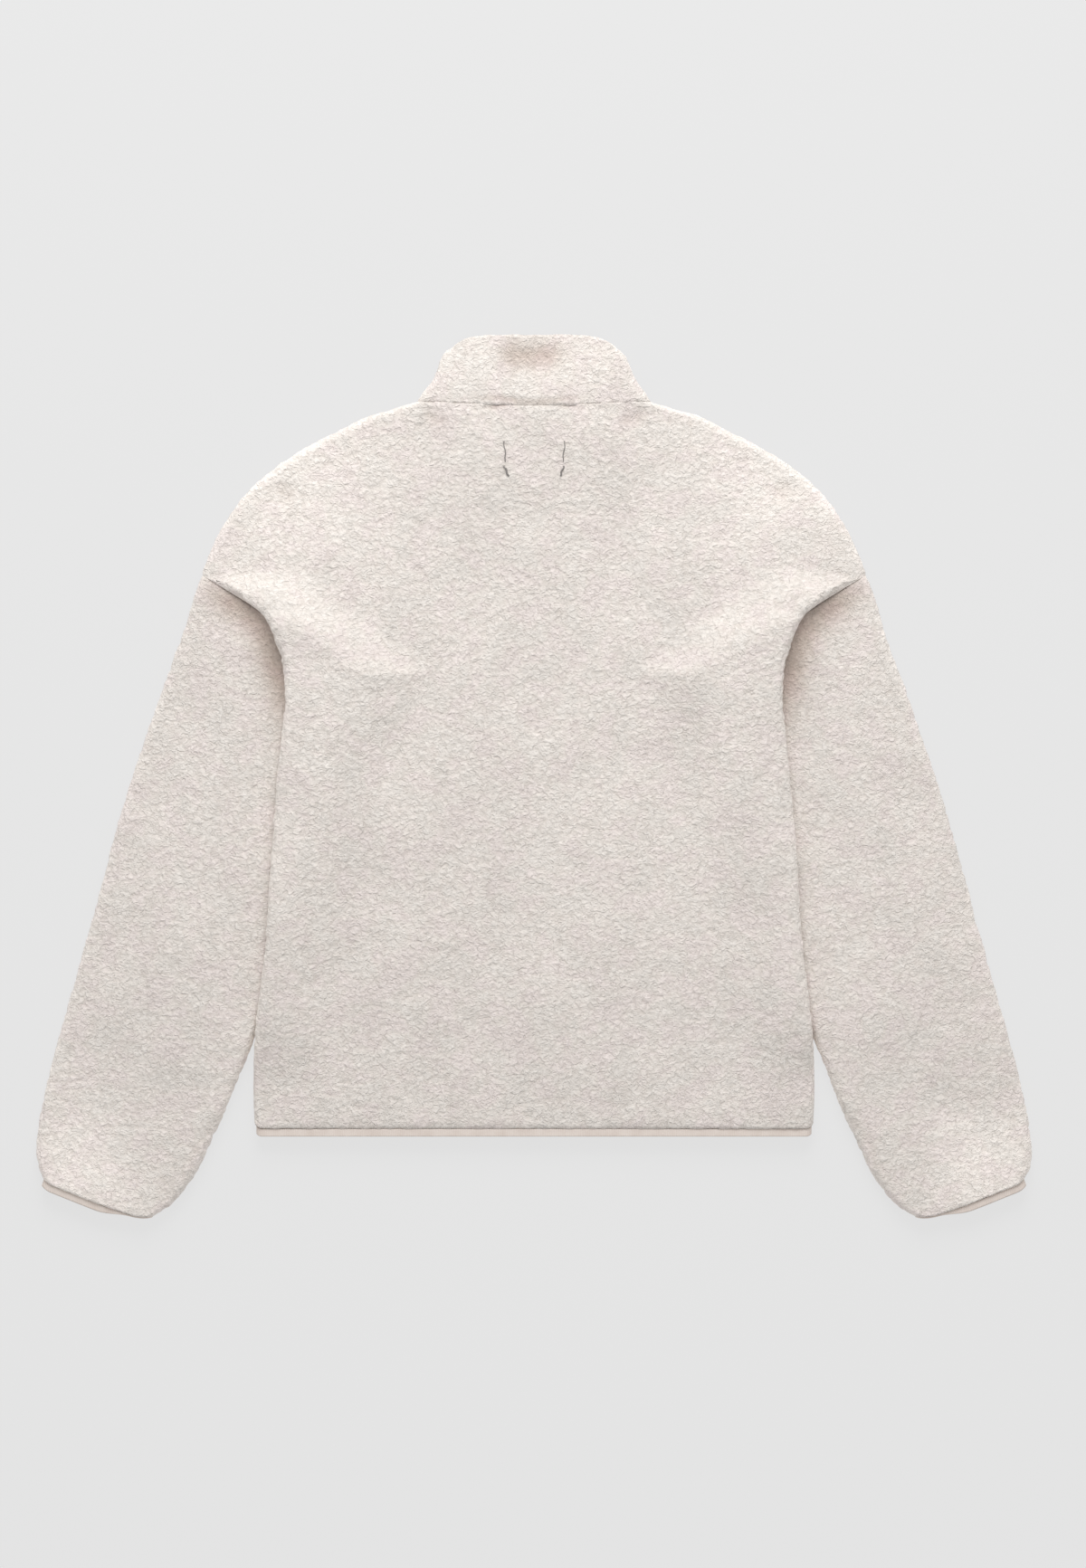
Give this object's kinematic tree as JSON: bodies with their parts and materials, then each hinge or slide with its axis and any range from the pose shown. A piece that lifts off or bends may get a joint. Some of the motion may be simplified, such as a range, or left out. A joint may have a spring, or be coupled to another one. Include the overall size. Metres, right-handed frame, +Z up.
{
  "type": "fleece jacket",
  "caption": "Curly pile fleece jacket with stand collar and front zip, laid flat on its front with both sleeves folded down beside the body.",
  "frame": {"origin": "middle of the jacket's outline, on the surface it lies on", "axes": "+X across the shoulders from the wearer's left sleeve to the right one, +Y from hem to collar, +Z up out of the back"},
  "size_m": [0.9332, 0.8324, 0.0325],
  "materials": {
    "pile_fleece": "curly pile",
    "stretch_binding": "fine rib",
    "zip_tape": "woven",
    "zip_metal": "satin"
  },
  "bodies": {
    "jacket": {"back": "pile_fleece", "front_left": "pile_fleece", "front_right": "pile_fleece", "sleeve_left": "pile_fleece", "sleeve_right": "pile_fleece", "collar": "pile_fleece", "hem_binding": "stretch_binding", "cuff_binding_left": "stretch_binding", "cuff_binding_right": "stretch_binding", "zip_tape_left": "zip_tape", "zip_tape_right": "zip_tape", "zip_slider": "zip_metal", "zip_box": "zip_metal"},
    "pull_tab": {"zip_pull": "zip_metal"}
  },
  "joints": [
    {"name": "pull_tab_hinge", "type": "hinge", "parent": "jacket", "child": "pull_tab", "pos_m": [0, 0.33523, 0.002], "axis": [1, 0, 0], "range_deg": [0, 170]}
  ]
}
